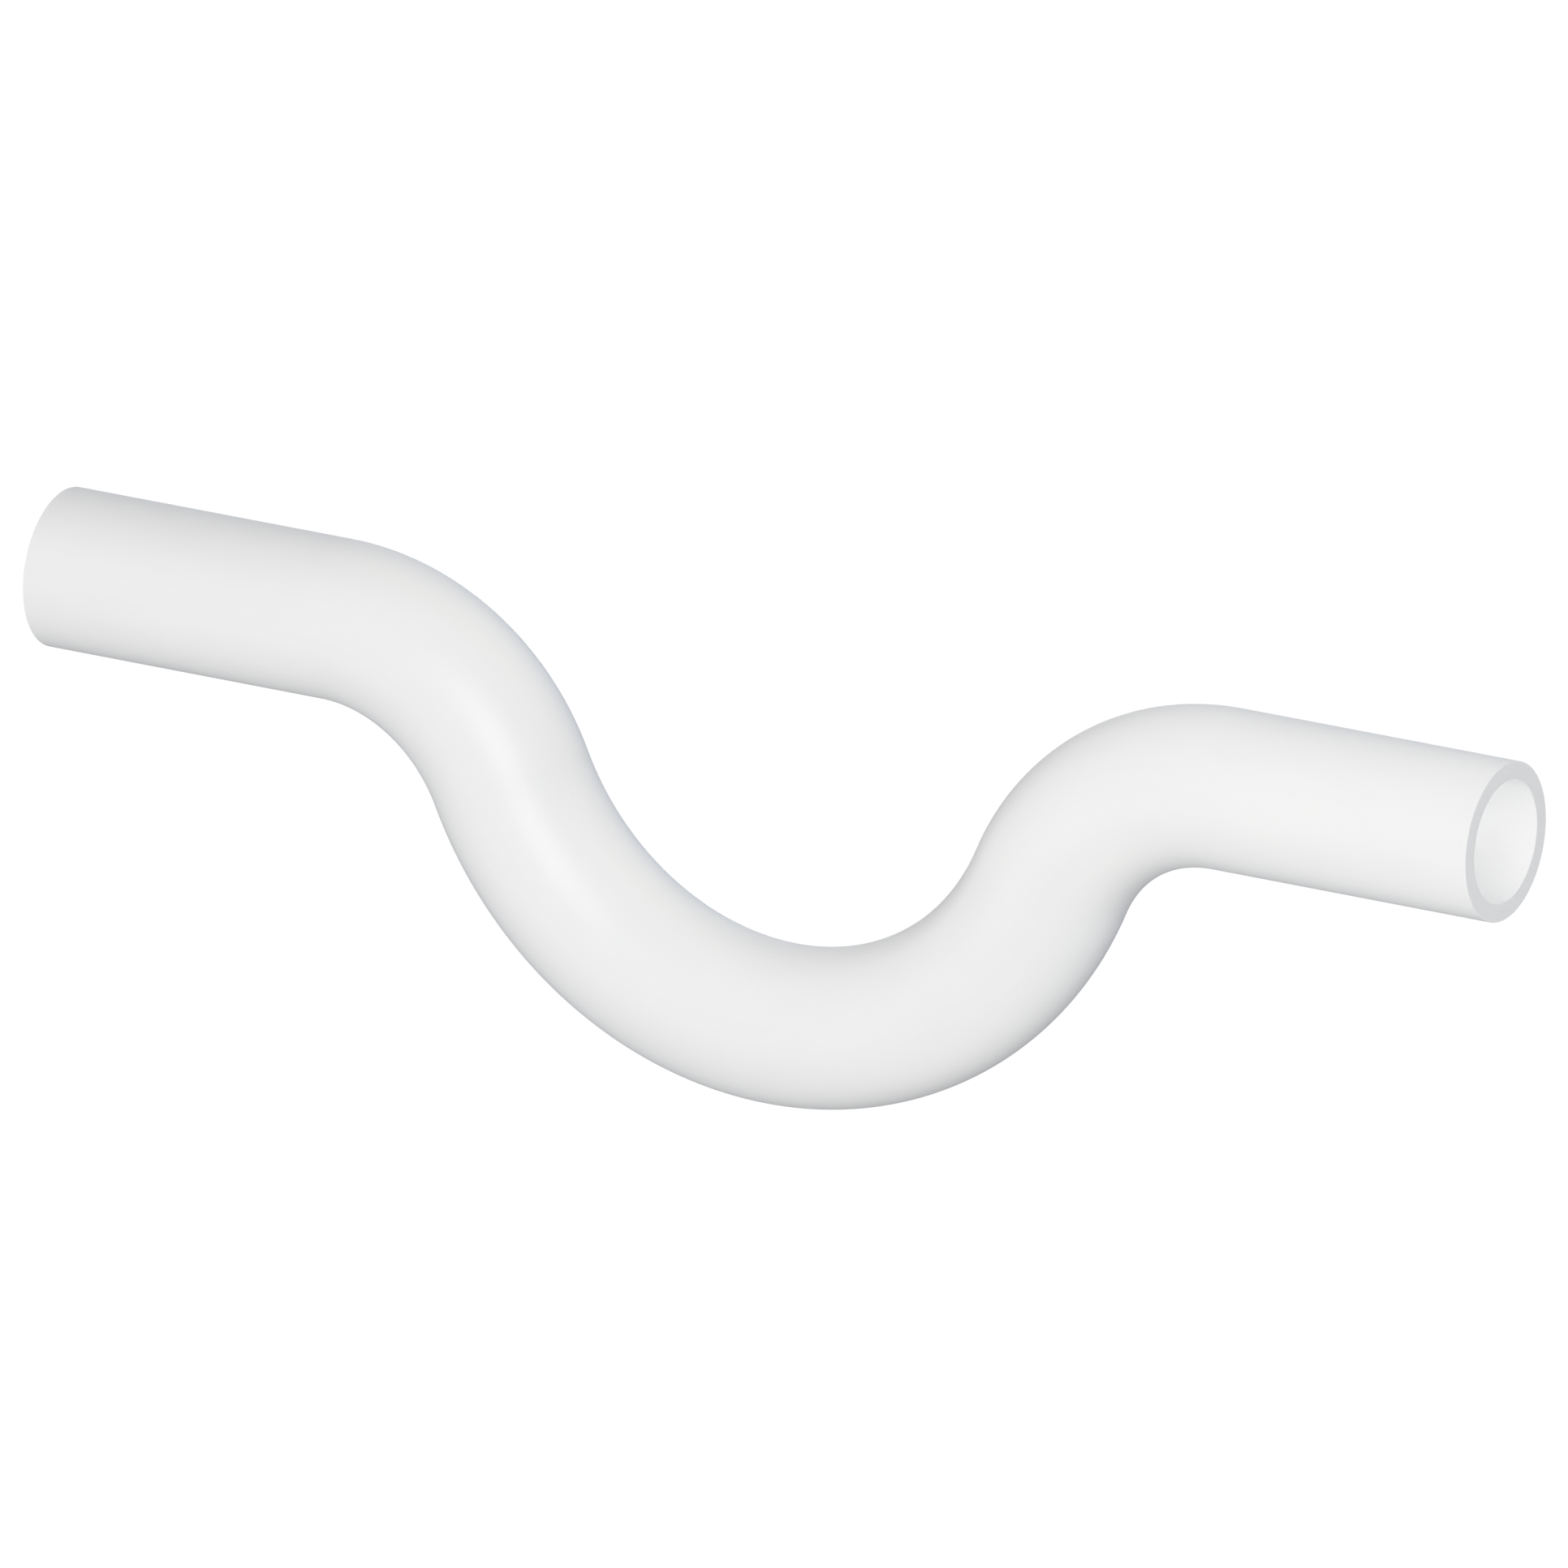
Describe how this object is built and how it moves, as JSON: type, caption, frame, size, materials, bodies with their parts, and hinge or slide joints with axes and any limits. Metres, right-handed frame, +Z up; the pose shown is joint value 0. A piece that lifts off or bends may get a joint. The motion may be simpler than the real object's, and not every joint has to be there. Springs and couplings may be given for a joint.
{
  "type": "condensate trap",
  "caption": "One-piece pipe trap: a level inlet dips through a U bend that holds a water seal, then returns to a level outlet on the same line.",
  "frame": {"origin": "centre of the inlet's end face, on the pipe's axis", "axes": "+X along the level run, from the inlet to the outlet, +Z up, so the dip hangs towards -Z, and the pipe's centreline lies in the XZ plane"},
  "size_m": [0.2722, 0.0266, 0.0821],
  "materials": {
    "white_pvc": "satin, as extruded and bent white PVC pipe"
  },
  "bodies": {
    "root": {"trap_tube": "white_pvc"}
  },
  "joints": []
}
